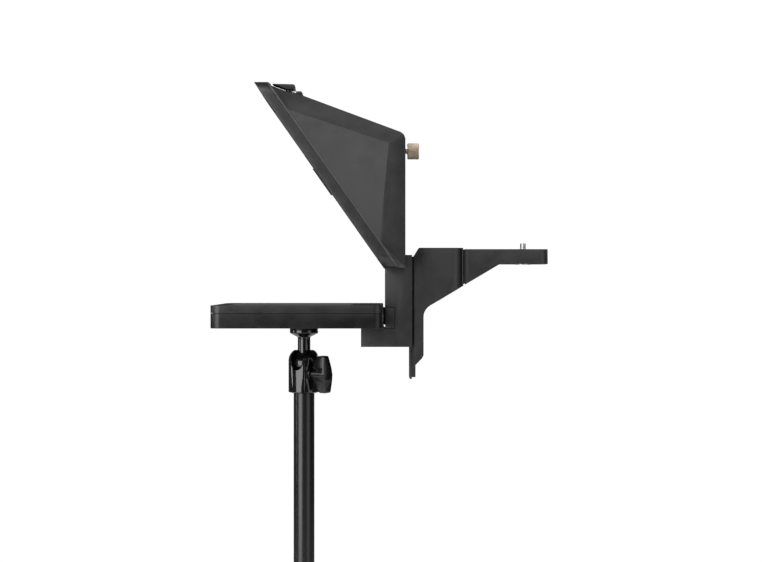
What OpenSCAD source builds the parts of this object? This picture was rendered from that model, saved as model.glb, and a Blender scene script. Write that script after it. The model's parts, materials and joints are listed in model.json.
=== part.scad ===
// Desk teleprompter: a flat screen in a tray-shaped base, a slanted beam splitter glass on a
// tapered hood, a sliding camera bracket behind it, and a desk clamp stand with a short
// telescoping pole and a ball head. Millimetres. The origin is on the pole's axis, at the face
// of the clamp pad that rests on the desk. +Z is up, +X points to the camera, -X to the reader.

/* [Prompter] */
// Width of the base and of the glass frame, side to side
prompter_w = 226; // [216:1:240]
// Length of the base, reader's end to column
base_len = 177.5; // [172:0.1:182]
// Height of the base
base_h = 23.5; // [23:0.1:26]
// Height of the glass frame, measured straight up
frame_h = 190.8; // [184:0.2:196]
// Clear radius of the lens opening
lens_r = 36; // [30:0.5:38]

/* [Camera bracket] */
// Distance from the bracket's front to the end of its arm
arm_len = 143.7; // [136:0.1:150]
// Width of the arm
arm_w = 60; // [56:1:64]
// Width of the bracket's block
block_w = 80; // [78:1:86]

/* [Stand] */
// Height of the top of the pole above the desk
pole_top_z = 310; // [290:1:330]
// Radius of the inner pole
pole_r = 11.25; // [11:0.05:11.5]
// Largest desk thickness that the clamp takes
jaw_max = 48; // [44:1:56]

/* [Hidden] */
$fn = 64;
fit = 0.05;                       // radial gap of a running fit
slip = 0.3;                       // gap between pieces that pass each other
eps = 0.01;

// Ball head
head_r = 16.75;
head_z = pole_top_z;
ball_z = head_z + 32.5;
ball_r = 12.8;
dome_z = head_z + 35.6;           // height where the dome starts
dome_h = 14;
stem_r = 6.8;
stem_top_z = head_z + 58.2;
plate_r = 15.3;
knob_z = head_z + 21.3;
dog_x = 9.1;  // where the lock screw's narrow tip meets the brake shoe
knob_turn = -51;                  // the knob's direction, from +X, about Z
notch_turn = -118;                // the drop notch's direction

// Base
base_z = head_z + 72.5;
base_x0 = -91.8;
base_x1 = base_x0 + base_len;
base_mid = (base_x0 + base_x1) / 2;
base_r = 10.5;
seam_z = base_z + 15.4;           // top of the lower shell
seam_h = 0.4;
base_top = base_z + base_h;
wall = 2.2;
screen_x = -10;                   // middle of the screen
screen_l = 126;
screen_w = prompter_w - 15;
lcd_z = base_top - 6.8;
board_z = base_z + 5.5;
board_x0 = -78;
board_x1 = -18;
port_z = board_z + 3.2;
usb_x = -58;
button_x = -34;
half_w = prompter_w / 2;

// Column
col_x0 = 87.6;
col_x1 = 116.2;
col_w = 90;
foot_x0 = 62.1;
foot_z = base_z - 21.2;
channel_x = 113.5;
channel_w = 56.6;
hood_z = base_z + 62.5;           // underside of the hood
lip_x = 109;
lip_z = hood_z + 13.7;
clamp_z = hood_z - 15;            // height of the bracket's thumb screw

// Hood
frame_top = hood_z + frame_h;
front_x = 86.9;                   // lower front corner of the frame
lean = 0.7042;                    // run of the glass for each unit of height
tip_x = front_x - lean * frame_h;
frame_d = 14.8;                   // depth of the frame, measured level
frame_r = 14;
flange_t = 2;                     // hood's flange behind the frame
rear_x = 108.6;
slope = 0.3701;                   // fall of the hood's top for each unit towards the rear
slope_z0 = frame_top - 12;        // height of the top's plane at x = 0
hood_in = 24.5;                   // how far the side panels' chamfers reach in
side_in = 7;                      // how far the side panels lean in at their rear corner
skin = 3;
lens_z = hood_z + 67;
plate_z0 = hood_z + 9;
plate_z1 = rear_top_z() - 7;
plate_w = 170;
screw_z = rear_top_z() - 12.3;
latch_x = -12;
latch_y = 80;
latch_floor = top_z(latch_x) - 5.4;

// Camera bracket
web_x = 118.4;
arm_x1 = web_x + arm_len;
block_x1 = 170.4;
block_top = hood_z + 21.4;
arm_top = block_top - 1.3;
arm_under = arm_top - 15.9;
plate_t = 6;
side_t = 5;
leg_x = 128.5;
tongue_z = hood_z - 118.5;
cam_x = arm_x1 - 25.2;
thread_r = 3.175;                 // quarter-inch thread
neck_r = 2.6;                     // relieved neck that keeps the screw captive

// Stand
outer_r = pole_r + 2.75;
outer_top = 104;
collar_z = 86;
spindle_x = -8;
jaw_rest = -30;                   // height of the lower pad as drawn
arm_z = -jaw_max - 27;            // underside of the clamp's lower arm
boss_z = -jaw_max - 10;           // top of the spindle's boss
handle_z = arm_z - 36;

function top_z(x) = slope_z0 - slope * x;
function rear_top_z() = top_z(rear_x);
function front_at(z) = tip_x + lean * (frame_top - z);
function dome_r(z) = head_r * sqrt(1 - pow((z - dome_z) / dome_h, 2));

// ---------- helpers ----------

// A 2D outline drawn in X and Z, made solid from y0 to y1
module side_on(y0, y1) {
    translate([0, y1, 0]) rotate([90, 0, 0]) linear_extrude(y1 - y0) children();
}

// A 2D outline drawn in Y and Z, made solid from x0 to x1
module end_on(x0, x1) {
    translate([x0, 0, 0]) rotate([90, 0, 90]) linear_extrude(x1 - x0) children();
}

module round_rect(w, h, r) {
    square([w - 2 * r, h], center = true);
    square([w, h - 2 * r], center = true);
    for (x = [-1, 1], y = [-1, 1])
        translate([x * (w / 2 - r), y * (h / 2 - r)]) circle(r);
}

module rod(r, z0, z1) {
    translate([0, 0, z0]) cylinder(r = r, h = z1 - z0);
}

module rod_x(r, x0, x1, y = 0, z = 0) {
    translate([x0, y, z]) rotate([0, 90, 0]) cylinder(r = r, h = x1 - x0);
}

module ring(r_out, r_in, z0, z1) {
    difference() {
        rod(r_out, z0, z1);
        rod(r_in, z0 - 1, z1 + 1);
    }
}

module slab(x0, x1, y, z0, z1) {
    translate([x0, -y, z0]) cube([x1 - x0, 2 * y, z1 - z0]);
}

// A head along X with straight grip grooves round it
module grip_head(r, x0, x1, z, grooves = 20) {
    difference() {
        union() {
            rod_x(r - 0.5, x0, x1, 0, z);
            rod_x(r, x0 + 0.5, x1 - 0.5, 0, z);
        }
        for (i = [0 : grooves - 1])
            translate([0, 0, z]) rotate([i * 360 / grooves, 0, 0])
                rod_x(0.45, x0 - 1, x1 + 1, 0, r + 0.1);
    }
}

module knob_way() {
    translate([0, 0, knob_z]) rotate([0, 0, knob_turn]) children();
}

// The outline of the base, pulled in all round
module base_outline(inset = 0) {
    translate([base_mid, 0])
        round_rect(base_len - 2 * inset, prompter_w - 2 * inset, max(base_r - inset, 2));
}

// A leaning layer of the glass frame: from d0 to d1 behind its front, pulled in all round
module lean_layer(d0, d1, inset, r, over = 0) {
    intersection() {
        end_on(tip_x - 5, rear_x + 20)
            translate([0, hood_z + frame_h / 2])
                round_rect(prompter_w - 2 * inset, frame_h - 2 * inset, r);
        side_on(-half_w, half_w) polygon([
            [front_at(frame_top) + d0 - over, frame_top],
            [front_at(frame_top) + d1 + over, frame_top],
            [front_at(hood_z) + d1 + over, hood_z],
            [front_at(hood_z) + d0 - over, hood_z]
        ]);
    }
}

// Where a line t below the hood's top meets the plane d behind the frame's front
function brow_x(d, t) = (tip_x + d + lean * (frame_top - slope_z0 + t)) / (1 - lean * slope);

// The hood as a closed convex form that starts d behind the frame's front: a deep middle and
// side panels that lean in towards their rear corner, all pulled in by t
module hood_form(d, t = 0) {
    drop = 1.07 * t;
    side_w = half_w - 0.5 - t;
    middle_w = half_w - hood_in - t / 2;
    brow_w = middle_w + 2.1;
    hull() {
        side_on(-brow_w, brow_w) polygon([
            [brow_x(d, drop), top_z(brow_x(d, drop)) - drop],
            [brow_x(d, drop) + 1, top_z(brow_x(d, drop) + 1) - drop],
            [front_at(hood_z + t) + d, hood_z + t]
        ]);
        side_on(-middle_w, middle_w) polygon([
            [rear_x - 5, top_z(rear_x - 5) - drop],
            [rear_x - 1.5 - t, top_z(rear_x) - 0.8 - drop],
            [rear_x - t, top_z(rear_x) - 5 - drop],
            [rear_x - t, hood_z + t],
            [rear_x - 7, hood_z + t]
        ]);
        side_on(-side_w, side_w) polygon([
            [front_at(frame_top - 29) + d, frame_top - 29],
            [front_at(frame_top - 29) + d + 0.2, frame_top - 29.2],
            [front_at(hood_z + 27) + d, hood_z + 27]
        ]);
        side_on(side_in - side_w, side_w - side_in)
            translate([rear_x - 17.4 - t, frame_top - 63 - t / 2]) square(0.1, center = true);
    }
}

// ---------- clamp and pole ----------

module clamp_frame() {
    color("#1c1c1e") difference() {
        union() {
            translate([-1, 0, 2]) linear_extrude(10) round_rect(78, 48, 5);
            slab(26, 38, 24, arm_z, 12);
            slab(-20, 38, 18, arm_z, arm_z + 14);
            translate([spindle_x, 0, 0]) rod(13, arm_z - 4, boss_z);
            translate([-20, 0, arm_z]) cylinder(r = 18, h = 14);
            rod(21, 12, 34);
        }
        rod(outer_r, 14, 40);
        translate([spindle_x, 0, 0]) rod(5 + fit, arm_z - 5, boss_z + 1);
    }
}

module clamp_pad() {
    color("#101010") difference() {
        translate([-1, 0, 0]) linear_extrude(2) round_rect(70, 44, 4);
        slab(24, 60, 40, -1, 3);
    }
}

module outer_pole() {
    color("#1a1a1b") ring(outer_r, outer_r - 2, 14, outer_top);
}

module collar_sleeve() {
    color("#c8c4b8") difference() {
        union() {
            rod(outer_r - 2, outer_top - 22, outer_top);
            rod(outer_r - 0.4, outer_top, outer_top + 4);
        }
        rod(pole_r + fit, outer_top - 23, outer_top + 5);
        translate([0, -1, outer_top - 12]) cube([20, 2, 20]);
    }
}

module clamp_foot() {
    color("#1c1c1e") translate([spindle_x, 0, 0]) difference() {
        rod(18, jaw_rest - 10, jaw_rest - 2);
        rod(4 + fit, jaw_rest - 11, jaw_rest - 5);
    }
}

module clamp_foot_pad() {
    color("#101010") translate([spindle_x, 0, 0]) rod(17.5, jaw_rest - 2, jaw_rest);
}

module clamp_spindle() {
    color("#b8b8ba") translate([spindle_x, 0, 0]) difference() {
        union() {
            rod(5, handle_z - 2, jaw_rest - 10.2);
            rod(4, jaw_rest - 11, jaw_rest - 5.3);
            rod(8, handle_z - 6, handle_z + 6);
        }
        translate([0, 0, handle_z]) rotate([90, 0, 0]) cylinder(r = 3, h = 40, center = true);
    }
}

module clamp_handle() {
    color("#b8b8ba") translate([spindle_x, 0, handle_z]) {
        rotate([90, 0, 0]) cylinder(r = 3, h = 60, center = true);
        for (y = [-30, 30]) translate([0, y, 0]) sphere(r = 4.5);
    }
}

module pole_collar() {
    color("#1a1a1b") difference() {
        rod(outer_r + 3.5, collar_z, collar_z + 32);
        rod(outer_r + fit, collar_z - 1, outer_top + 6);
        rod(pole_r + 0.35, outer_top + 5, collar_z + 33);
        for (i = [0 : 15]) rotate([0, 0, i * 22.5])
            translate([outer_r + 4.4, 0, 0]) rod(1.6, collar_z + 5, collar_z + 27);
    }
}

module inner_pole() {
    color("#19191a") ring(pole_r, pole_r - 1.5, 64, pole_top_z);
}

module pole_guide_bush() {
    color("#c8c4b8") difference() {
        union() {
            rod(outer_r - 2 - fit, 58, 64);
            rod(pole_r - 1.5, 64, 76);
        }
        rod(pole_r - 3.5, 57, 77);
    }
}

module pole_top_plug() {
    color("#8c8c8e") difference() {
        rod(pole_r - 1.5, pole_top_z - 18, pole_top_z);
        rod(3.1, pole_top_z - 10, pole_top_z + 1);
    }
}

module head_base_stud() {
    color("#8c8c8e") rod(3.1, pole_top_z - 9, pole_top_z + 6);
}

// ---------- ball head ----------

module head_housing() {
    dome_top = dome_z + 10.8;
    mouth_r = 10.7;
    steps = 8;
    color("#0c0c0d") difference() {
        rotate_extrude() polygon(concat(
            [[0, head_z], [head_r - 4, head_z], [head_r - 0.4, head_z + 1], [head_r, head_z + 1.4]],
            [for (i = [0 : steps]) let (z = dome_z + (dome_top - dome_z) * sin(i * 90 / steps))
                [dome_r(z), z]],
            [[0, dome_top]]
        ));
        rod(3.1, head_z - 1, head_z + 6);
        rod(9.6, head_z + 6, ball_z);
        translate([0, 0, ball_z]) sphere(r = ball_r + slip);
        rod(mouth_r, ball_z + 7, dome_top + 1);
        rotate([0, 0, notch_turn]) {
            translate([0, -7.3, ball_z - 0.2]) cube([20, 14.6, 30]);
            rod_x(7.3, 0, 20, 0, ball_z - 0.2);
        }
        rotate([0, 0, -87]) translate([head_r - 1, -0.4, head_z + 2]) cube([3, 0.8, 40]);
        knob_way() rod_x(3 + fit, 0, 20);
        knob_way() rod_x(8.5, head_r - 2, 20);
    }
}

module head_brake_shoe() {
    color("#b9a36a") difference() {
        rod(9.5, head_z + 6.2, ball_z - 4);
        translate([0, 0, ball_z]) sphere(r = ball_r + slip);
        knob_way() rod_x(3.6, dog_x, 12);
    }
}

// One wing of the knob, from the hub to the tip, drawn along the knob's axis and across it
module knob_wing() {
    hull() {
        translate([head_r + 5, -5]) square([21, 10]);
        translate([head_r + 14.7, 18]) circle(2.8);
        translate([head_r + 22.3, 18.5]) circle(2.3);
    }
}

module head_wing_knob() {
    color("#0e0e0f") knob_way() rotate([4, 0, 0]) difference() {
        union() {
            rod_x(8, head_r - 1.5, head_r + 2.5);
            rod_x(6, head_r + 2, head_r + 26);
            for (s = [0, 180]) rotate([s, 0, 0]) intersection() {
                translate([0, 0, -1]) rotate([90, 0, 0])
                    linear_extrude(14, center = true) knob_wing();
                // wings thin out towards their tips
                end_on(head_r, head_r + 30)
                    polygon([[-6, -1], [6, -1], [5.2, 8], [2.8, 22], [-2.8, 22], [-5.2, 8]]);
            }
        }
        rod_x(3, head_r - 2, head_r + 11);
    }
}

module head_lock_screw() {
    color("#8c8c8e") knob_way() {
        rod_x(2, dog_x, dog_x + 2);
        rod_x(3, dog_x + 1.1, head_r + 11);
    }
}

module head_ball() {
    color("#2a2a2c") translate([0, 0, ball_z]) sphere(r = ball_r);
}

module head_stem() {
    color("#0e0e0f") difference() {
        union() {
            rod(stem_r, ball_z + 9, stem_top_z);
            rod(4, stem_top_z, stem_top_z + 8);
        }
        translate([0, 0, ball_z]) sphere(r = ball_r + slip);
    }
}

module head_platform() {
    z = stem_top_z + 0.2;
    color("#111112") difference() {
        rotate_extrude() polygon([
            [0, z], [stem_r, z], [stem_r, z + 2.1], [plate_r - 0.6, base_z - 8],
            [plate_r, base_z - 7.2], [plate_r, base_z - 3], [0, base_z - 3]
        ]);
        rod(4 + fit, z - 1, z + 8.2);
        rod(3.1, z + 8, base_z);
    }
}

module head_pad() {
    color("#161616") ring(plate_r, 3.1, base_z - 3, base_z);
}

module platform_stud() {
    color("#8c8c8e") rod(3.1, stem_top_z + 8.6, base_z + 7.5);
}

// ---------- base ----------

module post_places() {
    for (x = [base_x0 + 9.2, base_x1 - 9.2], y = [-half_w + 10.6, half_w - 10.6])
        translate([x, y, 0]) children();
}

// Grip grooves along the seam, on both ends of the base
module base_end_grooves(z0, z1) {
    for (x = [base_x0, base_x1])
        translate([x - 1.4, base_r - half_w, z0]) cube([2.8, prompter_w - 2 * base_r, z1 - z0]);
}

module base_lower_shell() {
    color("#232325") difference() {
        union() {
            difference() {
                translate([0, 0, base_z]) linear_extrude(seam_z - base_z) base_outline();
                translate([0, 0, base_z + 2.4]) linear_extrude(base_h) base_outline(2 * wall);
            }
            difference() {
                translate([0, 0, base_z + 1]) linear_extrude(seam_z + 2.4 - base_z)
                    base_outline(wall);
                translate([0, 0, base_z]) linear_extrude(base_h) base_outline(2 * wall);
            }
            for (x = [board_x0 + 5, board_x1 - 5], y = [-10, half_w - 18])
                translate([x, y, 0]) rod(3, base_z + 2, board_z);
            rod(10, base_z + 2, base_z + 5);
        }
        rod(6, base_z - 1, base_z + 12);
        post_places() rod(3, base_z - 1, base_z + 3);
        base_end_grooves(seam_z - 0.8, seam_z + 6);
        translate([usb_x - 4.8, half_w - 6, port_z - 1.9]) cube([9.6, 10, 3.8]);
        translate([button_x - 4.3, half_w - 8, port_z - 2.3]) cube([8.6, 10, 4.6]);
    }
}

module base_bezel() {
    z0 = seam_z + seam_h;
    color("#39393b") difference() {
        union() {
            translate([0, 0, z0]) linear_extrude(base_top - z0) base_outline();
            post_places() rod(2.9, base_z + 2.4, base_top - 2);
        }
        difference() {
            translate([0, 0, z0 - 1]) linear_extrude(lcd_z + 3.2 - z0 + 1)
                base_outline(wall - 0.1);
            post_places() rod(2.9, base_z, base_top);
        }
        translate([screen_x, 0, z0]) linear_extrude(20)
            round_rect(screen_l - 10, screen_w - 12.4, 1);
        translate([screen_x, 0, base_top - 1.8]) linear_extrude(5)
            round_rect(screen_l - 2, screen_w - 5, 3);
        post_places() rod(1.25, base_z, base_z + 15);
        base_end_grooves(z0 - 1, z0 + 0.7);
    }
}

module screen_glass() {
    color([0.05, 0.05, 0.06, 0.6]) translate([screen_x, 0, base_top - 1.8])
        linear_extrude(1.6) round_rect(screen_l - 2.6, screen_w - 5.6, 2.7);
}

module screen_layer(z0, z1, in_x = 0, in_y = 0) {
    slab(screen_x - screen_l / 2 + in_x, screen_x + screen_l / 2 - in_x,
        screen_w / 2 - in_y, z0, z1);
}

module lcd_panel() {
    color("#0a0a0c") screen_layer(lcd_z, lcd_z + 3.2);
}

module backlight() {
    color("#d8d8d4") screen_layer(lcd_z - 4, lcd_z);
}

module shield_plate() {
    color("#b0b0b2") screen_layer(lcd_z - 4.8, lcd_z - 4, 4, 10);
}

module main_board() {
    color("#1d5a32") difference() {
        union() {
            translate([board_x0, -18, board_z])
                cube([board_x1 - board_x0, half_w + 8, 1.6]);
            translate([-62, 10, board_z + 1]) cube([16, 16, 2.2]);
            translate([-40, 20, board_z + 1]) cube([10, 12, 2.2]);
            translate([button_x - 3, half_w - 16, board_z + 1]) cube([6, 4, 4]);
        }
        for (x = [board_x0 + 5, board_x1 - 5], y = [-10, half_w - 18])
            translate([x, y, 0]) rod(1.2, board_z - 1, board_z + 3);
    }
}

module display_ribbon() {
    x0 = screen_x - screen_l / 2;
    color("#b5722a") {
        translate([x0 - 3.8, -14, board_z + 1.6]) cube([8, 20, 0.3]);
        translate([x0 - 3.8, -14, board_z + 1.6]) cube([0.3, 20, lcd_z + 0.6 - board_z]);
        translate([x0 - 3.8, -14, lcd_z + 1.9]) cube([3.8, 20, 0.3]);
    }
}

module thread_insert() {
    color("#c8a75a") difference() {
        rod(6, base_z, base_z + 9);
        rod(3.1, base_z - 1, base_z + 10);
    }
}

module base_screws() {
    color("#2c2c2e") post_places() difference() {
        union() {
            rod(2.9, base_z + 0.3, base_z + 2.3);
            rod(1.25, base_z + 2, base_z + 13);
        }
        rod(1, base_z - 1, base_z + 1.3);
    }
}

module usb_socket() {
    color("#a8a8aa") difference() {
        translate([usb_x - 4.5, half_w - 9, port_z - 1.6]) cube([9, 8.6, 3.2]);
        translate([usb_x - 4.1, half_w - 7, port_z - 1.2]) cube([8.2, 10, 2.4]);
    }
}

module power_button() {
    color("#161617") {
        translate([button_x - 4, half_w - 7, port_z - 2]) cube([8, 7, 4]);
        translate([button_x - 2, half_w - 10.9, port_z - 1]) cube([4, 4, 2]);
    }
}

// ---------- column ----------

module base_tongue() {
    color("#2d2d2f") {
        slab(base_x1, col_x0 + 0.4, 30, base_z + 2, base_z + 20);
        slab(col_x0 + 0.2, col_x0 + 10, col_w / 2 - 0.2, base_z - 1.6, base_z + 20.5);
    }
}

module column_body() {
    color("#29292b") difference() {
        union() {
            difference() {
                side_on(-col_w / 2, col_w / 2) polygon([
                    [foot_x0, foot_z], [col_x1, foot_z], [col_x1, lip_z], [lip_x, lip_z],
                    [lip_x, hood_z], [col_x0, hood_z], [col_x0, base_z], [foot_x0, base_z]
                ]);
                slab(foot_x0 + 4, lip_x + 0.5, 38, foot_z - 1, foot_z + 2);
                slab(foot_x0 + 6, lip_x - 2, 36, foot_z, base_z - 5);
                slab(col_x0 + 13, lip_x - 0.5, 36, foot_z, hood_z - 6);
                slab(col_x0 - 1, col_x0 + 10.4, 60, base_z - 2, base_z + 21);
            }
            rod_x(7, col_x0 + 8, channel_x, 0, clamp_z);
        }
        slab(channel_x, col_x1 + 1, channel_w / 2, foot_z - 1, lip_z + 1);
        rod_x(5, channel_x - 9, channel_x + 1, 0, clamp_z);
        for (y = [-25, 25]) translate([105, y, 0]) rod(2, hood_z - 8, hood_z + 1);
        for (s = [-1, 1]) difference() {
            translate([foot_x0 - 1, s * (col_w / 2 - 2), foot_z - 1])
                cube([6, 8, 60], center = false);
            translate([foot_x0 + 5, s * (col_w / 2 - 5), foot_z - 2]) cylinder(r = 5, h = 60);
        }
    }
}

module column_cover() {
    color("#242426") slab(foot_x0 + 4.2, lip_x + 0.3, 37.8, foot_z, foot_z + 1.8);
}

module column_insert() {
    color("#c8a75a") difference() {
        rod_x(5, channel_x - 8.5, channel_x, 0, clamp_z);
        rod_x(3.1 + fit, channel_x - 9, channel_x + 1, 0, clamp_z);
    }
}

// ---------- hood and glass ----------

module latch_spots() {
    for (y = [-latch_y, latch_y]) translate([latch_x, y, 0]) children();
}

module hood_shell() {
    color("#2a2a2c") difference() {
        union() {
            difference() {
                union() {
                    hood_form(frame_d - 1);
                    lean_layer(frame_d - flange_t, frame_d, 0, frame_r);
                }
                hood_form(frame_d - 6, skin);
            }
            intersection() {
                hood_form(frame_d - 1);
                latch_spots() rod(8, latch_floor - 3, frame_top);
            }
            rod_x(8, rear_x - 9, rear_x - 2.5, 0, screw_z);
        }
        latch_spots() rod(6, latch_floor, frame_top);
        latch_spots() rod(3.18, latch_floor - 4, frame_top);
        for (y = [-latch_y, latch_y]) translate([0, y, 0]) side_on(-12.6, 12.6) polygon([
            [-31, top_z(-31) + 5], [-8, top_z(-8) + 5],
            [-8, top_z(-8) - 2.2], [-31, top_z(-31) - 2.2]
        ]);
        // seat and opening of the lens plate
        end_on(rear_x - 2, rear_x + 1) translate([0, (plate_z0 + plate_z1) / 2])
            round_rect(plate_w + 0.6, plate_z1 - plate_z0 + 0.6, 8);
        end_on(rear_x - 12, rear_x + 1) translate([0, lens_z])
            round_rect(plate_w - 14, 102, 8);
        rod_x(5, rear_x - 10, rear_x, 0, screw_z);
        for (y = [-25, 25]) translate([105, y, 0]) rod(2, hood_z - 1, hood_z + 5);
    }
}

module hood_screws() {
    color("#8c8c8e") for (y = [-25, 25]) translate([105, y, 0]) {
        rod(2, hood_z - 6, hood_z + 3);
        rod(3.4, hood_z - 8.5, hood_z - 6);
    }
}

module hood_insert() {
    color("#c8a75a") difference() {
        rod_x(5, rear_x - 9, rear_x - 2, 0, screw_z);
        rod_x(2.75 + fit, rear_x - 10, rear_x - 1, 0, screw_z);
    }
}

module glass_frame() {
    color("#333335") difference() {
        lean_layer(0, frame_d - flange_t, 0, frame_r);
        lean_layer(0, frame_d, 9, 6, 5);
        lean_layer(7.2, frame_d + 5, 5, 9);
    }
}

module frame_grips() {
    color("#1d1d1f") intersection() {
        lean_layer(-1.5, 0, 1.5, 12.5);
        for (s = [-1, 1])
            translate([tip_x - 5, s * (half_w - 5.4) - 3.8, hood_z + 84]) cube([150, 7.6, 30]);
    }
}

module glass_seal() {
    color("#0c0c0c") difference() {
        lean_layer(7.2, 8, 5.3, 8.7);
        lean_layer(7.2, 8, 9, 6, 2);
    }
}

module beam_splitter() {
    color([0.6, 0.65, 0.68, 0.35]) lean_layer(8, 10.4, 5.3, 8.7);
}

module glass_retainer() {
    color("#1d1d1f") difference() {
        lean_layer(10.4, frame_d - flange_t, 5.3, 8.7);
        lean_layer(10.4, frame_d - flange_t, 11, 6, 2);
    }
}

// The latch: a wedge-shaped cap flush with the frame's top, on a round stem
module frame_latch(y) {
    under = top_z(-14) + 0.2;
    color("#141415") translate([0, y, 0]) {
        side_on(-12, 12) polygon([
            [-29.3, top_z(-29.3) + 0.25], [-7, top_z(-29.3) - 0.3], [-5.6, top_z(-29.3) - 1.5],
            [-5.6, under], [-14, under]
        ]);
        translate([latch_x, 0, 0]) {
            rod(3.1, latch_floor - 5.5, under + 1);
            rod(4.4, latch_floor - 5.5, latch_floor - 3.2);
        }
    }
}

// One coil spring from z0 to z1 round the stem, swept as rings of points along a helix
module coil_spring(r, wire_r, z0, z1, turns) {
    ring_n = 14 * turns;
    sides = 6;
    points = [for (i = [0 : ring_n]) let (a = i * 360 / 14, t = i / ring_n)
        for (k = [0 : sides - 1]) let (b = k * 360 / sides, q = r + wire_r * cos(b))
            [q * cos(a), q * sin(a), z0 + wire_r + (z1 - z0 - 2 * wire_r) * t + wire_r * sin(b)]];
    faces = concat(
        [[for (k = [0 : sides - 1]) k]],
        [for (i = [0 : ring_n - 1]) for (k = [0 : sides - 1])
            [i * sides + k, (i + 1) * sides + k,
             (i + 1) * sides + (k + 1) % sides, i * sides + (k + 1) % sides]],
        [[for (k = [sides - 1 : -1 : 0]) ring_n * sides + k]]
    );
    polyhedron(points, faces, convexity = 6);
}

module latch_spring(y) {
    color("#9a9a9c") translate([latch_x, y, 0])
        coil_spring(4.4, 0.45, latch_floor, top_z(-14) + 0.2, 3);
}

module latch_keepers() {
    color("#1d1d1f") for (y = [-latch_y, latch_y]) translate([0, y, 0]) side_on(-11, 11)
        polygon([
            [-4.6, top_z(-4.6)], [-4.6, top_z(-4.6) + 1.7], [0.6, top_z(-4.6) + 1.7],
            [2.2, top_z(-4.6) + 0.2], [2.2, top_z(2.2)]
        ]);
}

module lens_backplate() {
    color("#262628") difference() {
        end_on(rear_x - 2, rear_x) translate([0, (plate_z0 + plate_z1) / 2])
            round_rect(plate_w, plate_z1 - plate_z0, 7.7);
        rod_x(lens_r + 6 + fit, rear_x - 3, rear_x + 1, 0, lens_z);
        rod_x(3.2, rear_x - 3, rear_x + 1, 0, screw_z);
    }
}

module lens_ring() {
    color("#18181a") difference() {
        union() {
            rod_x(lens_r + 6, rear_x - 9, rear_x, 0, lens_z);
            rod_x(lens_r + 9, rear_x - 9, rear_x - 2, 0, lens_z);
        }
        rod_x(lens_r, rear_x - 10, rear_x + 1, 0, lens_z);
    }
}

module backplate_screw_clip() {
    color("#a8a8aa") difference() {
        rod_x(5, rear_x - 13, rear_x - 12, 0, screw_z);
        rod_x(2.75 + fit, rear_x - 14, rear_x - 11, 0, screw_z);
    }
}

module backplate_thumb_screw() {
    color("#b9a58c") {
        rod_x(2.75, rear_x - 14, rear_x + 4, 0, screw_z);
        grip_head(8.75, rear_x + 3.2, rear_x + 15.8, screw_z);
    }
}

// ---------- camera bracket ----------

module bracket_plan() {
    corner_r = 12.5;
    end_r = 10.5;
    fillet_r = 7;
    y = block_w / 2;
    a = arm_w / 2;
    translate([web_x, -y]) square([block_x1 - corner_r - web_x, 2 * y]);
    translate([web_x, -y + corner_r]) square([block_x1 - web_x, 2 * (y - corner_r)]);
    for (s = [-1, 1]) translate([block_x1 - corner_r, s * (y - corner_r)]) circle(corner_r);
    translate([web_x, -a]) square([arm_x1 - end_r - web_x, 2 * a]);
    translate([web_x, -a + end_r]) square([arm_x1 - web_x, 2 * (a - end_r)]);
    for (s = [-1, 1]) translate([arm_x1 - end_r, s * (a - end_r)]) circle(end_r);
    for (s = [-1, 1]) difference() {
        translate([block_x1 - 1, s > 0 ? a - 1 : -a - fillet_r + 1]) square([fillet_r, fillet_r]);
        translate([block_x1 + fillet_r, s * (a + fillet_r)]) circle(fillet_r);
    }
}

// The bracket's side view: a leg, a gusset at about 31 degrees and the arm. Its front stands
// clear of the column down to step_z and lies close to it below.
module bracket_profile() {
    rise = 0.5917;
    knee_z = arm_under - 48.3;
    gusset_x = leg_x + (arm_under - knee_z) / rise;
    groove_x = block_x1 + 1.4;
    groove_z = arm_under - (gusset_x - groove_x) * rise;
    step_z = hood_z - 29;
    close_x = col_x1 + slip;
    round_r = 14;
    run = 8;
    lean_a = atan(rise);
    difference() {
        polygon([
            [close_x, tongue_z + 12], [leg_x - 1.6, tongue_z + 22.6], [leg_x, tongue_z + 26],
            [leg_x, knee_z - run], [leg_x + run * cos(lean_a), knee_z + run * sin(lean_a)],
            [gusset_x, arm_under], [arm_x1 + 1, arm_under], [arm_x1 + 1, arm_top],
            [block_x1 + 1, arm_top], [block_x1, block_top], [web_x + 5.7, block_top],
            [web_x, block_top - 9.3], [web_x, step_z], [close_x, step_z]
        ]);
        translate([leg_x + round_r, knee_z - run]) circle(round_r);
        // groove between the block and the arm, above and below
        translate([groove_x - 0.8, arm_top - 0.9]) square([1.8, 3]);
        translate([groove_x - 0.8, groove_z - 3]) square([1.8, 6]);
    }
}

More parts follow.
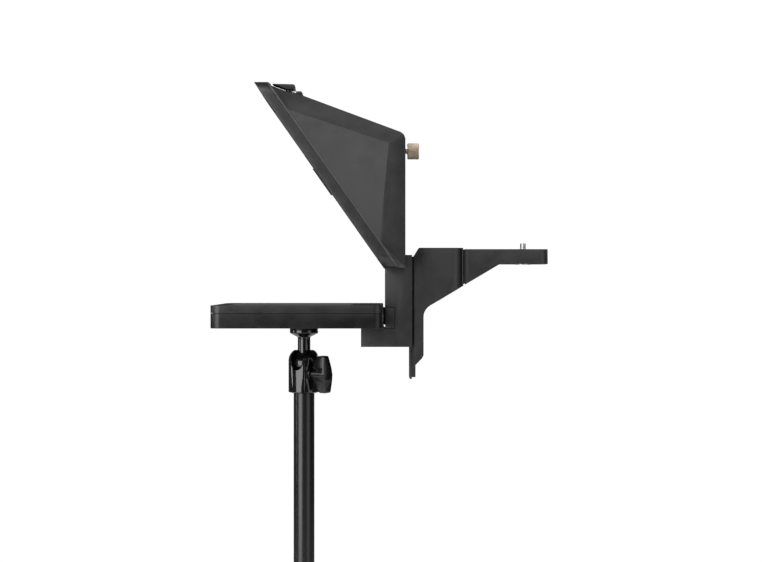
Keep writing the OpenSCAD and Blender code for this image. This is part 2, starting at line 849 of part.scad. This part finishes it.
module camera_bracket() {
    travel_up = 30;
    travel_down = 20;
    color("#2b2b2d") difference() {
        union() {
            difference() {
                intersection() {
                    side_on(-60, 60) bracket_profile();
                    translate([0, 0, tongue_z]) linear_extrude(200) bracket_plan();
                }
                slab(web_x + side_t, block_x1 - side_t, block_w / 2 - side_t,
                    tongue_z, arm_top - plate_t);
                slab(web_x + side_t, arm_x1 - side_t, arm_w / 2 - side_t,
                    tongue_z, arm_top - plate_t);
            }
            slab(channel_x + 0.4, web_x + eps, channel_w / 2 - slip,
                tongue_z + 12, block_top - 9.3);
            // lower end of the tongue, with a tapered rib behind it
            slab(channel_x + 0.4, channel_x + 2.7, channel_w / 2 - slip, tongue_z, tongue_z + 13);
            translate([0, 0, tongue_z + 1]) linear_extrude(20) polygon([
                [channel_x + 2.4, -10.8], [leg_x - 8, -9], [leg_x - 8, 9], [channel_x + 2.4, 10.8]
            ]);
        }
        // slot for the bracket's thumb screw
        end_on(channel_x - 1, web_x + side_t + 1) union() {
            translate([-3.5, clamp_z - travel_up]) square([7, travel_up + travel_down]);
            translate([0, clamp_z - travel_up]) circle(3.5);
            translate([0, clamp_z + travel_down]) circle(3.5);
        }
        // slot for the camera screw
        translate([0, 0, arm_top - plate_t - 1]) linear_extrude(plate_t + 2) union() {
            translate([cam_x - 32, -3.4]) square([42, 6.8]);
            translate([cam_x - 32, 0]) circle(3.4);
            translate([cam_x + 10, 0]) circle(3.4);
        }
    }
}

module bracket_washer() {
    x = web_x + side_t;
    color("#a8a8aa") difference() {
        rod_x(8, x + 0.1, x + 1.7, 0, clamp_z);
        rod_x(3.1 + fit, x - 1, x + 3, 0, clamp_z);
    }
}

module bracket_thumb_screw() {
    x = web_x + side_t;
    color("#b9a58c") {
        rod_x(3.1, channel_x - 8, x + 3, 0, clamp_z);
        grip_head(8.75, x + 1.9, x + 13.5, clamp_z);
    }
}

module camera_screw_guide() {
    under = arm_top - plate_t;
    color("#a8a8aa") translate([cam_x, 0, 0]) difference() {
        union() {
            rod(9, under - 1.4, under - 0.1);
            slab(-5, 5, 3.3, under - 1, under + 2);
        }
        rod(neck_r + fit, under - 2, under + 3);
    }
}

module camera_screw() {
    z = arm_under - 0.6;
    color("#c9cac4") translate([cam_x, 0, 0]) {
        difference() {
            union() {
                rod(8.3, z, z + 9);
                rod(8.8, z + 0.5, z + 8.5);
            }
            translate([-0.6, -10, z - 1]) cube([1.2, 20, 2.2]);
        }
        rod(neck_r, z + 8, arm_top + 0.3);
        rod(thread_r, arm_top + 0.3, arm_top + 6.3);
        rod(2.7, arm_top + 6, arm_top + 6.8);
    }
}

clamp_frame();
clamp_pad();
outer_pole();
collar_sleeve();
clamp_foot();
clamp_foot_pad();
clamp_spindle();
clamp_handle();
pole_collar();
inner_pole();
pole_guide_bush();
pole_top_plug();
head_base_stud();
head_housing();
head_brake_shoe();
head_wing_knob();
head_lock_screw();
head_ball();
head_stem();
head_platform();
head_pad();
platform_stud();
base_lower_shell();
base_bezel();
screen_glass();
lcd_panel();
backlight();
shield_plate();
main_board();
display_ribbon();
thread_insert();
base_screws();
base_tongue();
usb_socket();
power_button();
column_body();
column_cover();
column_insert();
hood_shell();
hood_screws();
hood_insert();
glass_frame();
frame_grips();
glass_seal();
beam_splitter();
glass_retainer();
frame_latch(-latch_y);  // frame_latch_left
frame_latch(latch_y);  // frame_latch_right
latch_spring(-latch_y);  // latch_spring_left
latch_spring(latch_y);  // latch_spring_right
latch_keepers();
lens_backplate();
lens_ring();
backplate_screw_clip();
backplate_thumb_screw();
camera_bracket();
bracket_washer();
bracket_thumb_screw();
camera_screw_guide();
camera_screw();
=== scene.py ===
import json
import math
import bmesh
import bpy
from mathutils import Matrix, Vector

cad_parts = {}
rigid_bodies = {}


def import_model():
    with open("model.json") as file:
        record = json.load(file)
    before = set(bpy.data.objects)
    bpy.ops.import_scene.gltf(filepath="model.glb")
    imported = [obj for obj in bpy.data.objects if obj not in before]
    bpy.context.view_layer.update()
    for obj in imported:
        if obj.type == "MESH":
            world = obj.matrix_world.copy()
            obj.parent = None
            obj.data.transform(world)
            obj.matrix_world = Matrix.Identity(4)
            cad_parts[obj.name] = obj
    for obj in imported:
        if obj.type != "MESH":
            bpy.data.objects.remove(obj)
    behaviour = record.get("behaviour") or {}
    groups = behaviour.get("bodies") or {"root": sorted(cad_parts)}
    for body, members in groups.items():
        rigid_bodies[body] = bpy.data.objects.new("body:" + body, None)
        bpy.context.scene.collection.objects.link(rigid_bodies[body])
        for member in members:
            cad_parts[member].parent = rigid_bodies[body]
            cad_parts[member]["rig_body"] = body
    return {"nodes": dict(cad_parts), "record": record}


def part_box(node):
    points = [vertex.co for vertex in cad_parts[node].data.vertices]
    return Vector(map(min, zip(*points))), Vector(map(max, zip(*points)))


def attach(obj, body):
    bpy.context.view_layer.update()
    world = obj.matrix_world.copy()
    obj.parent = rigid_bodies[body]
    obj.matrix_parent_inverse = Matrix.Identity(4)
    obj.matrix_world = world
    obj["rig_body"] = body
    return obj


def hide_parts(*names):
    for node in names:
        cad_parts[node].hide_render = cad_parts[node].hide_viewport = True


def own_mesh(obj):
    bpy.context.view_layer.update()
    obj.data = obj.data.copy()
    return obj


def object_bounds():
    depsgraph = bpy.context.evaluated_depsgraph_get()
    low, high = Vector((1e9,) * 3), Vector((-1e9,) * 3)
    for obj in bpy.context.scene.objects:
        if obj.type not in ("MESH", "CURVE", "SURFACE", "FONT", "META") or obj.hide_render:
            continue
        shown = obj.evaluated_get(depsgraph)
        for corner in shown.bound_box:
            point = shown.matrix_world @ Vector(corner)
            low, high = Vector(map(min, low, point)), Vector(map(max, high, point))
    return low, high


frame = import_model()
CAD_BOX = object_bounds()
NODES = frame["nodes"]
BODY_OF = {node: obj["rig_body"] for node, obj in NODES.items()}
SLOT_OF = {s["node"]: s["material_slot"] for s in frame["record"]["subparts"]}
MM = 0.001

CAMERA_DISTANCE = 2.0             # from the middle plane of the object
CAMERA_ASIDE = 0.0833             # towards the rear, from the pole's axis
CAMERA_RISE = 0.1211              # above the top of the pole
LENS_MM = 87.3
SENSOR_MM = 36
FLOOR_RADIUS = 1.35
FLOOR_GAP = 0.004                 # between the floor and the lowest point of the object
LIGHT_DISTANCE = 2.4
LIGHT_RISE = 0.45                 # height of the point that the lights face
LIGHT_ASIDE = 0.06
BACKDROP = 1.02                   # strength of the white seen behind the object
FILL = 0.09                       # strength of the white that lights it
WIRE_RADIUS = 0.45 * MM           # latch springs
SPRING_TURNS = 3
UNC_PITCH = 1.27 * MM             # quarter-inch screws
SPINDLE_PITCH = 2 * MM
THREAD_LENGTH = 6.5 * MM          # of the camera screw, from its tip


# ---------- camera, floor and light ----------

def grey(value):
    """Linear value of an sRGB grey from 0 to 1."""
    return value / 12.92 if value <= 0.04045 else ((value + 0.055) / 1.055) ** 2.4


def make_camera():
    """A level side view, above the top of the pole."""
    low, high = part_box("inner_pole")
    pole_x = (low.x + high.x) / 2
    camera_data = bpy.data.cameras.new("camera")
    camera_data.sensor_width = SENSOR_MM
    camera_data.lens = LENS_MM
    camera = bpy.data.objects.new("camera", camera_data)
    camera.location = (pole_x + CAMERA_ASIDE, -CAMERA_DISTANCE, high.z + CAMERA_RISE)
    camera.rotation_euler = (math.radians(90), 0, 0)
    bpy.context.scene.collection.objects.link(camera)
    bpy.context.scene.camera = camera


def area_light(name, azimuth, elevation, size, power):
    """A soft panel at an azimuth from the camera, right positive, that faces the object."""
    target = Vector((LIGHT_ASIDE, 0, LIGHT_RISE))
    a, e = math.radians(azimuth), math.radians(elevation)
    away = Vector((math.sin(a) * math.cos(e), -math.cos(a) * math.cos(e), math.sin(e)))
    data = bpy.data.lights.new(name, "AREA")
    data.shape = "RECTANGLE"
    data.size, data.size_y = size
    data.energy = power
    light = bpy.data.objects.new(name, data)
    light.location = target + away * LIGHT_DISTANCE
    light.rotation_euler = away.to_track_quat("Z", "Y").to_euler()
    light.visible_camera = False
    bpy.context.scene.collection.objects.link(light)


def make_lights():
    """Tall panels left and right, a narrow one behind the camera and two from the sides."""
    area_light("left_panel", -40, 18, (1.8, 4.2), 105)
    area_light("centre_panel", 3.5, 40, (0.4, 3.0), 9)
    area_light("right_panel", 50, 16, (1.5, 4.0), 22)
    area_light("left_strip", -90, 20, (0.25, 2.6), 12)
    area_light("rear_panel", 150, 25, (1.2, 2.4), 22)


def make_world():
    """White behind the object, and a dimmer white that lights it."""
    world = bpy.data.worlds.new("studio")
    bpy.context.scene.world = world
    world.use_nodes = True
    tree = world.node_tree
    tree.nodes.clear()
    seen = tree.nodes.new("ShaderNodeBackground")
    seen.inputs["Color"].default_value = (1, 1, 1, 1)
    seen.inputs["Strength"].default_value = BACKDROP
    fill = tree.nodes.new("ShaderNodeBackground")
    fill.inputs["Color"].default_value = (0.96, 0.98, 1, 1)
    fill.inputs["Strength"].default_value = FILL
    path = tree.nodes.new("ShaderNodeLightPath")
    mix = tree.nodes.new("ShaderNodeMixShader")
    out = tree.nodes.new("ShaderNodeOutputWorld")
    tree.links.new(path.outputs["Is Camera Ray"], mix.inputs["Fac"])
    tree.links.new(fill.outputs["Background"], mix.inputs[1])
    tree.links.new(seen.outputs["Background"], mix.inputs[2])
    tree.links.new(mix.outputs["Shader"], out.inputs["Surface"])


def make_floor():
    """A round pale floor under the stand."""
    low = CAD_BOX[0]
    bm = bmesh.new()
    bmesh.ops.create_circle(bm, cap_ends=True, segments=128, radius=FLOOR_RADIUS)
    mesh = bpy.data.meshes.new("floor")
    bm.to_mesh(mesh)
    bm.free()
    floor = bpy.data.objects.new("floor", mesh)
    floor.location = (0, 0, low[2] - FLOOR_GAP)
    bpy.context.scene.collection.objects.link(floor)
    material = bpy.data.materials.new("pale_floor")
    material.use_nodes = True
    shader = material.node_tree.nodes["Principled BSDF"]
    shader.inputs["Base Color"].default_value = (0.86, 0.86, 0.86, 1)
    shader.inputs["Roughness"].default_value = 0.7
    shader.inputs["Emission Color"].default_value = (1, 1, 1, 1)
    shader.inputs["Emission Strength"].default_value = 0.05
    mesh.materials.append(material)


# ---------- materials ----------

def nodes_of(name):
    """A new material, its node tree and its shader."""
    material = bpy.data.materials.new(name)
    material.use_nodes = True
    return material, material.node_tree, material.node_tree.nodes["Principled BSDF"]


def noise(tree, scale, detail=3, rough=0.5, stretch=(1, 1, 1)):
    """Noise in the object's own coordinates; scale is in features per metre."""
    place = tree.nodes.new("ShaderNodeTexCoord")
    mapping = tree.nodes.new("ShaderNodeMapping")
    mapping.inputs["Scale"].default_value = stretch
    texture = tree.nodes.new("ShaderNodeTexNoise")
    texture.inputs["Scale"].default_value = scale
    texture.inputs["Detail"].default_value = detail
    texture.inputs["Roughness"].default_value = rough
    tree.links.new(place.outputs["Object"], mapping.inputs["Vector"])
    tree.links.new(mapping.outputs["Vector"], texture.inputs["Vector"])
    return texture.outputs["Fac"]


def spread(tree, value, low, high, start=0.3, end=0.7):
    """Maps a 0 to 1 value to low to high."""
    node = tree.nodes.new("ShaderNodeMapRange")
    node.inputs["From Min"].default_value = start
    node.inputs["From Max"].default_value = end
    node.inputs["To Min"].default_value = low
    node.inputs["To Max"].default_value = high
    tree.links.new(value, node.inputs["Value"])
    return node.outputs["Result"]


def tint(tree, value, dark, light):
    """A colour that runs from dark to light with a 0 to 1 value."""
    node = tree.nodes.new("ShaderNodeValToRGB")
    node.color_ramp.elements[0].position = 0.3
    node.color_ramp.elements[1].position = 0.7
    node.color_ramp.elements[0].color = (*dark, 1)
    node.color_ramp.elements[1].color = (*light, 1)
    tree.links.new(value, node.inputs["Fac"])
    return node.outputs["Color"]


def bump(tree, value, strength, distance, below=None):
    """A surface relief from a 0 to 1 value, on top of another one where below is given."""
    node = tree.nodes.new("ShaderNodeBump")
    node.inputs["Strength"].default_value = strength
    node.inputs["Distance"].default_value = distance
    tree.links.new(value, node.inputs["Height"])
    if below is not None:
        tree.links.new(below, node.inputs["Normal"])
    return node.outputs["Normal"]


def finish_material(name, base, rough, grain, depth, metallic=0.0, coat=0.0, specular=0.5,
                    blotch=6, vary=0.12, stretch=(1, 1, 1), rough_vary=0.06, dust=0.0):
    """A moulded, painted or metal surface: fine grain, slow blotches and uneven gloss."""
    material, tree, shader = nodes_of(name)
    slow = noise(tree, blotch * 10, 4, 0.55, stretch)
    fine = noise(tree, grain, 2, 0.6, stretch)
    dark = tuple(c * (1 - vary) for c in base)
    light = tuple(min(1, c * (1 + vary) + dust) for c in base)
    tree.links.new(tint(tree, slow, dark, light), shader.inputs["Base Color"])
    tree.links.new(spread(tree, slow, rough - rough_vary, rough + rough_vary),
                   shader.inputs["Roughness"])
    wide = bump(tree, noise(tree, grain / 6, 2, 0.5, stretch), 0.25, depth)
    tree.links.new(bump(tree, fine, 0.6, depth, wide), shader.inputs["Normal"])
    shader.inputs["Metallic"].default_value = metallic
    shader.inputs["Specular IOR Level"].default_value = specular
    shader.inputs["Coat Weight"].default_value = coat
    shader.inputs["Coat Roughness"].default_value = 0.08
    return material


def glass_material(name, colour, rough, coat_ior):
    """Clear glass with faint smears under a reflecting coat."""
    material, tree, shader = nodes_of(name)
    smear = noise(tree, 25, 5, 0.6)
    tree.links.new(spread(tree, smear, rough, rough + 0.03), shader.inputs["Roughness"])
    tree.links.new(tint(tree, smear, tuple(c * 0.97 for c in colour), colour),
                   shader.inputs["Base Color"])
    shader.inputs["Transmission Weight"].default_value = 1
    shader.inputs["IOR"].default_value = 1.5
    shader.inputs["Coat Weight"].default_value = 1
    shader.inputs["Coat IOR"].default_value = coat_ior
    shader.inputs["Coat Roughness"].default_value = 0.0
    return material


def board_material(name):
    """Solder mask with a net of paler lines for the tracks."""
    material, tree, shader = nodes_of(name)
    place = tree.nodes.new("ShaderNodeTexCoord")
    brick = tree.nodes.new("ShaderNodeTexBrick")
    brick.inputs["Scale"].default_value = 160
    brick.inputs["Mortar Size"].default_value = 0.06
    brick.inputs["Color1"].default_value = (0.010, 0.075, 0.028, 1)
    brick.inputs["Color2"].default_value = (0.012, 0.085, 0.032, 1)
    brick.inputs["Mortar"].default_value = (0.03, 0.16, 0.07, 1)
    tree.links.new(place.outputs["Object"], brick.inputs["Vector"])
    tree.links.new(brick.outputs["Color"], shader.inputs["Base Color"])
    tree.links.new(spread(tree, noise(tree, 300), 0.3, 0.45), shader.inputs["Roughness"])
    return material


def make_materials():
    """One material for each slot that the record names."""
    g = grey
    charcoal = (g(0.14), g(0.14), g(0.143))
    return {
        "powder_coat": finish_material("powder_coat", charcoal, 0.42, 2600, 0.00006,
                                       specular=0.5),
        "hood_plastic": finish_material("hood_plastic", (g(0.225), g(0.225), g(0.228)), 0.42,
                                        3000, 0.00005),
        "frame_plastic": finish_material("frame_plastic", (g(0.13), g(0.13), g(0.133)), 0.36,
                                         3000, 0.00005),
        # base_dark is the same black plastic as base_light, coloured darker as painted shade on
        # the lower shell
        "base_dark": finish_material("base_dark", (g(0.03), g(0.03), g(0.032)), 0.33,
                                     3000, 0.00005, specular=0.4),
        "base_light": finish_material("base_light", (g(0.09), g(0.09), g(0.093)), 0.36,
                                      3000, 0.00005),
        "head_gloss": finish_material("head_gloss", (0.002, 0.002, 0.0022), 0.13, 900, 0.00001,
                                      coat=0.3, rough_vary=0.03),
        "knob_gloss": finish_material("knob_gloss", (0.0015, 0.0015, 0.0017), 0.2, 1800, 0.00002,
                                      rough_vary=0.04),
        "pole_black": finish_material("pole_black", (g(0.045), g(0.045), g(0.048)), 0.28, 2500,
                                      0.00003, stretch=(1, 1, 0.05), rough_vary=0.05),
        "clamp_coat": finish_material("clamp_coat", (g(0.11), g(0.11), g(0.113)), 0.42, 2000,
                                      0.00006),
        "rubber_black": finish_material("rubber_black", (g(0.09), g(0.09), g(0.09)), 0.72, 1800,
                                        0.00012, dust=0.004),
        "foam_black": finish_material("foam_black", (g(0.08), g(0.08), g(0.08)), 0.9, 900,
                                      0.0004),
        "knurled_brass": finish_material("knurled_brass", (0.62, 0.52, 0.41), 0.3, 3000,
                                         0.00002, metallic=1.0, rough_vary=0.08),
        "brass_insert": finish_material("brass_insert", (0.68, 0.50, 0.24), 0.3, 2500, 0.00002,
                                        metallic=1.0),
        "steel": finish_material("steel", (0.66, 0.66, 0.64), 0.36, 2500, 0.00002,
                                 metallic=1.0, rough_vary=0.08),
        "screen_cover": glass_material("screen_cover", (0.5, 0.5, 0.52), 0.02, 1.5),
        "beam_glass": glass_material("beam_glass", (0.86, 0.9, 0.9), 0.0, 3.0),
        "lcd_black": finish_material("lcd_black", (0.006, 0.006, 0.008), 0.2, 4000, 0.00001),
        "diffuser_white": finish_material("diffuser_white", (0.75, 0.75, 0.72), 0.6, 1500,
                                          0.00004),
        "board_green": board_material("board_green"),
        "ribbon_amber": finish_material("ribbon_amber", (0.42, 0.16, 0.03), 0.35, 900,
                                        0.00003, stretch=(8, 0.2, 1)),
        "nylon_white": finish_material("nylon_white", (0.62, 0.60, 0.53), 0.5, 1500, 0.00004),
    }


# ---------- mesh helpers ----------

def add_piece(bm, name, node, smooth=35, also=()):
    """Turns a bmesh into a piece that stands for a CAD node and rides on its body."""
    bmesh.ops.recalc_face_normals(bm, faces=bm.faces)
    mesh = bpy.data.meshes.new(name)
    bm.to_mesh(mesh)
    bm.free()
    for polygon in mesh.polygons:
        polygon.use_smooth = True
    mesh.set_sharp_from_angle(angle=math.radians(smooth))
    mesh.materials.append(MATERIALS[SLOT_OF[node]])
    piece = bpy.data.objects.new(name, mesh)
    bpy.context.scene.collection.objects.link(piece)
    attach(piece, BODY_OF[node])
    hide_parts(node, *also)
    return piece


def clean_copy(node):
    """The node's surface, welded, with its flat faces whole again."""
    bm = bmesh.new()
    bm.from_mesh(NODES[node].data)
    bmesh.ops.remove_doubles(bm, verts=bm.verts, dist=2e-6)
    bmesh.ops.dissolve_limit(bm, angle_limit=math.radians(0.4), verts=bm.verts, edges=bm.edges)
    return bm


def soften(node, width, angle=32, segments=3):
    """The node with its sharp edges rounded to width."""
    bm = clean_copy(node)
    mesh = bpy.data.meshes.new(node + "_soft")
    bm.to_mesh(mesh)
    bm.free()
    helper = bpy.data.objects.new(node + "_helper", mesh)
    bpy.context.scene.collection.objects.link(helper)
    bevel = helper.modifiers.new("bevel", "BEVEL")
    bevel.width = width
    bevel.segments = segments
    bevel.limit_method = "ANGLE"
    bevel.angle_limit = math.radians(angle)
    bevel.use_clamp_overlap = True
    bevel.harden_normals = False
    graph = bpy.context.evaluated_depsgraph_get()
    result = bmesh.new()
    result.from_object(helper, graph)
    bpy.data.objects.remove(helper)
    return add_piece(result, node + "_soft", node, smooth=40)


# ---------- turned pieces ----------

def outline_of(node, axis):
    """The outer outline of a turned CAD node: (position, radius) pairs along the axis."""
    bm = clean_copy(node)
    low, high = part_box(node)
    middle = (low + high) / 2
    middle[axis] = 0

    def reach(point):
        across = point - middle
        across[axis] = 0
        return across.length

    levels = []
    for level in sorted(v.co[axis] for v in bm.verts):
        if not levels or level - levels[-1] > 0.05 * MM:
            levels.append(level)

    def radius_at(level):
        widest = 0
        for edge in bm.edges:
            a, b = (v.co for v in edge.verts)
            if (a[axis] - level) * (b[axis] - level) < 0:
                share = (level - a[axis]) / (b[axis] - a[axis])
                widest = max(widest, reach(a.lerp(b, share)))
        return widest

    outline = []
    for start, end in zip(levels, levels[1:]):
        for level, probe in ((start, start + 0.01 * MM), (end, end - 0.01 * MM)):
            radius = radius_at(probe)
            if len(outline) > 1 and abs(outline[-1][1] - radius) < 0.06 * MM \
                    and abs(outline[-2][1] - radius) < 0.06 * MM:
                outline[-1] = (level, outline[-1][1])
            else:
                outline.append((level, radius))
    bm.free()
    return outline


def rounded(outline, width):
    """The outline with its corners rounded to width, and its ends drawn in."""
    points = [Vector(p) for p in outline]
    points.insert(0, Vector((points[0].x, points[0].y * 0.6)))
    points.append(Vector((points[-1].x, points[-1].y * 0.6)))
    result = [points[0]]
    for before, corner, after in zip(points, points[1:], points[2:]):
        back, on = before - corner, after - corner
        if back.length < 1e-6 or on.length < 1e-6 or abs(back.angle(on) - math.pi) < 0.3:
            result.append(corner)
            continue
        start = corner + back.normalized() * min(width, back.length * 0.45)
        end = corner + on.normalized() * min(width, on.length * 0.45)
        for t in (0, 0.33, 0.67, 1):
            result.append(start * (1 - t) ** 2 + corner * 2 * t * (1 - t) + end * t ** 2)
    result.append(points[-1])
    return result


def turned(node, axis, features=(), width=0.3 * MM, around=96, step=0.22 * MM, name="turned"):
    """A smooth turned version of the node, with threads or knurls cut by the features."""
    low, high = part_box(node)
    middle = (low + high) / 2
    outline = rounded(outline_of(node, axis), width)
    fine = [outline[0]]
    for before, after in zip(outline, outline[1:]):
        cut = any(f.start < max(before.x, after.x) and f.end > min(before.x, after.x)
                  for f in features)
        parts = max(1, math.ceil(abs(after.x - before.x) / step)) if cut else 1
        fine += [before.lerp(after, (i + 1) / parts) for i in range(parts)]
    bm = bmesh.new()
    rings = []
    for point in fine:
        ring = []
        for i in range(around):
            angle = math.tau * i / around
            radius = point.y
            for f in features:
                if f.start < point.x < f.end and radius > f.above:
                    radius -= f.depth * f.cut(point.x, angle / math.tau)
            a, b = radius * math.cos(angle), radius * math.sin(angle)
            place = (point.x, middle.y + a, middle.z + b) if axis == 0 else \
                (middle.x + a, middle.y + b, point.x)
            ring.append(bm.verts.new(place))
        rings.append(ring)
    for one, two in zip(rings, rings[1:]):
        for i in range(around):
            j = (i + 1) % around
            bm.faces.new((one[i], one[j], two[j], two[i]))
    bm.faces.new(rings[0])
    bm.faces.new(rings[-1])
    return add_piece(bm, f"{node}_{name}", node, smooth=32)


class Feature:
    """A pattern cut into a turned surface between start and end where it is wider than above."""

    def __init__(self, start, end, depth, above):
        self.start, self.end, self.depth, self.above = start, end, depth, above


class Thread(Feature):
    """A V thread of one start."""

    def __init__(self, start, end, depth, above, pitch):
        super().__init__(start, end, depth, above)
        self.pitch = pitch

    def cut(self, position, turn):
        fade = min(1, (position - self.start) / self.pitch, (self.end - position) / self.pitch)
        return abs((position / self.pitch - turn) % 1 - 0.5) * 2 * fade


class Knurl(Feature):
    """Two crossing sets of slanted grooves that leave diamonds."""

    def __init__(self, start, end, depth, above, count, pitch):
        super().__init__(start, end, depth, above)
        self.count, self.pitch = count, pitch

    def cut(self, position, turn):
        ways = [abs((turn * self.count + way * position / self.pitch) % 1 - 0.5) * 2
                for way in (-1, 1)]
        return 1 - min(1, min(ways) * 1.5)


def head_start(outline, share=0.7):
    """Where a turned node first grows past a share of its largest radius."""
    largest = max(radius for _, radius in outline)
    return min(level for level, radius in outline if radius > share * largest)


def thumb_screw(node):
    """A brass screw along X: a knurled head on a threaded shank."""
    outline = outline_of(node, 0)
    head = head_start(outline)
    tip, end = outline[0][0], outline[-1][0]
    radius = max(r for _, r in outline)
    turned(node, 0, [
        Thread(tip, head - 1 * MM, 0.55 * MM, 0, UNC_PITCH),
        Knurl(head + 0.9 * MM, end - 0.9 * MM, 0.85 * MM, 0.7 * radius, 16, 3.2 * MM),
    ], width=0.5 * MM, around=208, name="knurled")


def camera_screw():
    """The camera's quarter-inch screw: a turned head, a plain neck and a threaded end."""
    outline = outline_of("camera_screw", 2)
    top = outline[-1][0]
    turned("camera_screw", 2, [
        Thread(top - THREAD_LENGTH, top, 0.22 * MM, 0, UNC_PITCH),
    ], width=0.4 * MM, around=128, name="threaded")


def clamp_spindle():
    """The clamp's screw: a thread above a plain boss that carries the handle."""
    outline = outline_of("clamp_spindle", 2)
    boss_end = max(level for level, radius in outline if radius > 7 * MM)
    top = outline[-1][0]
    turned("clamp_spindle", 2, [
        Thread(boss_end + 1 * MM, top - 6 * MM, 0.9 * MM, 0, SPINDLE_PITCH),
    ], width=0.6 * MM, around=96, step=0.3 * MM, name="threaded")


# ---------- springs ----------

def latch_spring(side):
    """A coil spring under a latch, wound to fill the node's box; the coil keeps its length."""
    node = f"latch_spring_{side}"
    low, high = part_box(node)
    middle = (low + high) / 2
    coil = (high.x - low.x) / 2 - WIRE_RADIUS
    length = high.z - low.z
    steps, sides = 108, 12
    bm = bmesh.new()
    rings = []
    for i in range(steps + 1):
        angle = math.tau * SPRING_TURNS * i / steps
        height = low.z + WIRE_RADIUS + (length - 2 * WIRE_RADIUS) * i / steps
        ring = []
        for k in range(sides):
            around = math.tau * k / sides
            reach = coil + WIRE_RADIUS * math.cos(around)
            ring.append(bm.verts.new((middle.x + reach * math.cos(angle),
                                      middle.y + reach * math.sin(angle),
                                      height + WIRE_RADIUS * math.sin(around))))
        rings.append(ring)
    for one, two in zip(rings, rings[1:]):
        for k in range(sides):
            m = (k + 1) % sides
            bm.faces.new((one[k], one[m], two[m], two[k]))
    bm.faces.new(rings[0])
    bm.faces.new(rings[-1])
    piece = add_piece(bm, f"{node}_coil", node)
    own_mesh(piece)


# ---------- the scene ----------

MATERIALS = make_materials()
make_camera()
make_world()
make_floor()
make_lights()

for node, obj in NODES.items():
    obj.data.materials.clear()
    obj.data.materials.append(MATERIALS[SLOT_OF[node]])

for node, width in {
    "hood_shell": 0.0012, "glass_frame": 0.0005, "base_lower_shell": 0.0004,
    "base_bezel": 0.0007, "column_body": 0.0007, "camera_bracket": 0.0006,
    "base_tongue": 0.0003, "clamp_frame": 0.0012, "lens_backplate": 0.0004,
    "lens_ring": 0.0005, "clamp_foot": 0.0006, "latch_keepers": 0.0004,
    "frame_latch_left": 0.0006, "frame_latch_right": 0.0006, "head_wing_knob": 0.0009,
    "head_housing": 0.0004, "head_platform": 0.0004, "pole_collar": 0.0005,
}.items():
    soften(node, width)

thumb_screw("backplate_thumb_screw")
thumb_screw("bracket_thumb_screw")
camera_screw()
clamp_spindle()
latch_spring("left")
latch_spring("right")

bpy.context.scene.view_settings.view_transform = "Standard"
